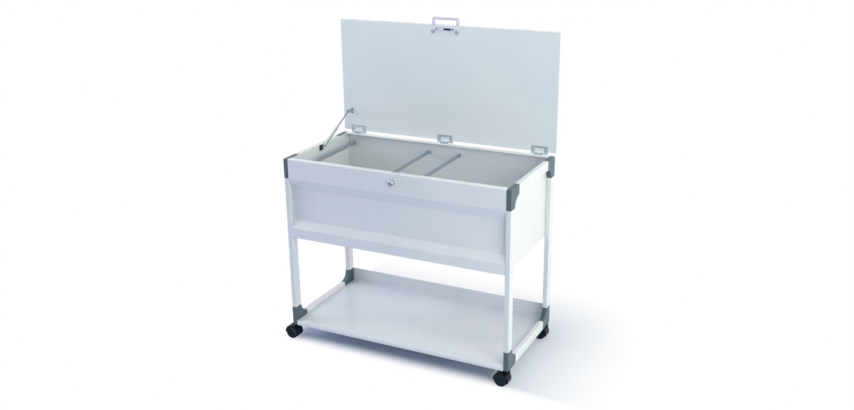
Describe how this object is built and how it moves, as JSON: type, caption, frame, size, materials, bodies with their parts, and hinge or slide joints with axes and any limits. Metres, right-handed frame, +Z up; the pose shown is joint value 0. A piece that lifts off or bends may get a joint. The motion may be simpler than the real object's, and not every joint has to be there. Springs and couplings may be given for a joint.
{
  "type": "mobile file cart",
  "caption": "Mobile file cart: a white steel file box with a lockable, strut-held lid over a shelf, in flat tube end frames with plastic corners on twin-wheel castors.",
  "frame": {"origin": "on the floor, at the middle of the outline seen from above", "axes": "+X towards the cart's right end, +Y towards its back where the lid is hinged, +Z up"},
  "size_m": [0.9248, 0.466, 1.1966],
  "materials": {
    "white_coat": "fine powder coat, satin",
    "grey_board": "melamine-faced board, matt",
    "connector_plastic": "moulded, fine grain",
    "handle_grey": "satin",
    "zinc_steel": "zinc plated",
    "buffer_rubber": "matt",
    "dark_metal": "satin",
    "strut_grey": "semi-gloss",
    "polished_rod": "polished",
    "lock_chrome": "polished",
    "castor_plastic": "moulded, satin",
    "wheel_plastic": "moulded, satin"
  },
  "bodies": {
    "frame": {"leg_front_left": "white_coat", "connector_upper_front_left": "connector_plastic", "connector_lower_front_left": "connector_plastic", "leg_rear_left": "white_coat", "connector_upper_rear_left": "connector_plastic", "connector_lower_rear_left": "connector_plastic", "rail_upper_left": "white_coat", "rail_lower_left": "white_coat", "leg_front_right": "white_coat", "connector_upper_front_right": "connector_plastic", "connector_lower_front_right": "connector_plastic", "leg_rear_right": "white_coat", "connector_upper_rear_right": "connector_plastic", "connector_lower_rear_right": "connector_plastic", "rail_upper_right": "white_coat", "rail_lower_right": "white_coat", "front_panel": "white_coat", "rear_panel": "white_coat", "box_floor": "white_coat", "side_panel_left": "white_coat", "side_panel_right": "white_coat", "shelf": "white_coat", "file_rail_left_inner": "zinc_steel", "file_rail_left_outer": "zinc_steel", "file_rail_right_inner": "zinc_steel", "file_rail_right_outer": "zinc_steel", "hinge_left_rim_leaf": "zinc_steel", "hinge_left_pin": "zinc_steel", "hinge_middle_rim_leaf": "zinc_steel", "hinge_middle_pin": "zinc_steel", "hinge_right_rim_leaf": "zinc_steel", "hinge_right_pin": "zinc_steel", "strut_wall_bracket": "dark_metal", "lock_barrel": "lock_chrome"},
    "lid": {"lid_board": "grey_board", "lid_handle": "handle_grey", "strike_plate": "zinc_steel", "lid_buffer_left": "buffer_rubber", "lid_buffer_right": "buffer_rubber", "strut_lid_bracket": "zinc_steel", "hinge_left_lid_leaf": "zinc_steel", "hinge_middle_lid_leaf": "zinc_steel", "hinge_right_lid_leaf": "zinc_steel"},
    "strut_barrel": {"strut_cylinder": "strut_grey"},
    "strut_piston": {"strut_rod": "polished_rod"},
    "lock": {"lock_plug": "lock_chrome", "lock_cam": "zinc_steel"},
    "castor_front_left": {"castor_front_left_hood": "castor_plastic"},
    "castor_front_left_wheel_near": {"castor_front_left_wheel_near": "wheel_plastic"},
    "castor_front_left_wheel_far": {"castor_front_left_wheel_far": "wheel_plastic"},
    "castor_front_right": {"castor_front_right_hood": "castor_plastic"},
    "castor_front_right_wheel_near": {"castor_front_right_wheel_near": "wheel_plastic"},
    "castor_front_right_wheel_far": {"castor_front_right_wheel_far": "wheel_plastic"},
    "castor_rear_left": {"castor_rear_left_hood": "castor_plastic"},
    "castor_rear_left_wheel_near": {"castor_rear_left_wheel_near": "wheel_plastic"},
    "castor_rear_left_wheel_far": {"castor_rear_left_wheel_far": "wheel_plastic"},
    "castor_rear_right": {"castor_rear_right_hood": "castor_plastic"},
    "castor_rear_right_wheel_near": {"castor_rear_right_wheel_near": "wheel_plastic"},
    "castor_rear_right_wheel_far": {"castor_rear_right_wheel_far": "wheel_plastic"}
  },
  "joints": [
    {"name": "lid_hinge", "type": "hinge", "parent": "frame", "child": "lid", "pos_m": [0.0184, 0.21595, 0.728], "axis": [1, 0, 0], "range_deg": [0, 90]},
    {"name": "strut_swing", "type": "hinge", "parent": "frame", "child": "strut_barrel", "pos_m": [-0.3946, -0.00165, 0.712], "axis": [1, 0, 0], "range_deg": [-28.6, 0]},
    {"name": "strut_slide", "type": "slide", "parent": "strut_barrel", "child": "strut_piston", "axis": [0, 0.8922, 0.4515], "range_m": [-0.0879, 0]},
    {"name": "lock_turn", "type": "hinge", "parent": "frame", "child": "lock", "pos_m": [0.0184, -0.21065, 0.692], "axis": [0, -1, 0], "range_deg": [0, 90]},
    {"name": "castor_front_left_swivel", "type": "hinge", "parent": "frame", "child": "castor_front_left", "pos_m": [-0.4146, -0.20515, 0.063], "axis": [0, 0, 1], "continuous": true},
    {"name": "castor_front_left_roll_near", "type": "hinge", "parent": "castor_front_left", "child": "castor_front_left_wheel_near", "pos_m": [-0.4336, -0.21605, 0.025], "axis": [0, 1, 0], "continuous": true},
    {"name": "castor_front_left_roll_far", "type": "hinge", "parent": "castor_front_left", "child": "castor_front_left_wheel_far", "pos_m": [-0.4336, -0.19425, 0.025], "axis": [0, 1, 0], "continuous": true},
    {"name": "castor_front_right_swivel", "type": "hinge", "parent": "frame", "child": "castor_front_right", "pos_m": [0.4514, -0.20515, 0.063], "axis": [0, 0, 1], "continuous": true},
    {"name": "castor_front_right_roll_near", "type": "hinge", "parent": "castor_front_right", "child": "castor_front_right_wheel_near", "pos_m": [0.4324, -0.21605, 0.025], "axis": [0, 1, 0], "continuous": true},
    {"name": "castor_front_right_roll_far", "type": "hinge", "parent": "castor_front_right", "child": "castor_front_right_wheel_far", "pos_m": [0.4324, -0.19425, 0.025], "axis": [0, 1, 0], "continuous": true},
    {"name": "castor_rear_left_swivel", "type": "hinge", "parent": "frame", "child": "castor_rear_left", "pos_m": [-0.4146, 0.19085, 0.063], "axis": [0, 0, 1], "continuous": true},
    {"name": "castor_rear_left_roll_near", "type": "hinge", "parent": "castor_rear_left", "child": "castor_rear_left_wheel_near", "pos_m": [-0.4336, 0.17995, 0.025], "axis": [0, 1, 0], "continuous": true},
    {"name": "castor_rear_left_roll_far", "type": "hinge", "parent": "castor_rear_left", "child": "castor_rear_left_wheel_far", "pos_m": [-0.4336, 0.20175, 0.025], "axis": [0, 1, 0], "continuous": true},
    {"name": "castor_rear_right_swivel", "type": "hinge", "parent": "frame", "child": "castor_rear_right", "pos_m": [0.4514, 0.19085, 0.063], "axis": [0, 0, 1], "continuous": true},
    {"name": "castor_rear_right_roll_near", "type": "hinge", "parent": "castor_rear_right", "child": "castor_rear_right_wheel_near", "pos_m": [0.4324, 0.17995, 0.025], "axis": [0, 1, 0], "continuous": true},
    {"name": "castor_rear_right_roll_far", "type": "hinge", "parent": "castor_rear_right", "child": "castor_rear_right_wheel_far", "pos_m": [0.4324, 0.20175, 0.025], "axis": [0, 1, 0], "continuous": true}
  ],
  "couplings": [
    {"joint": "strut_swing", "follows": "lid_hinge", "ratio": -0.31731},
    {"joint": "strut_slide", "follows": "lid_hinge", "m_per_rad": -0.055897}
  ]
}
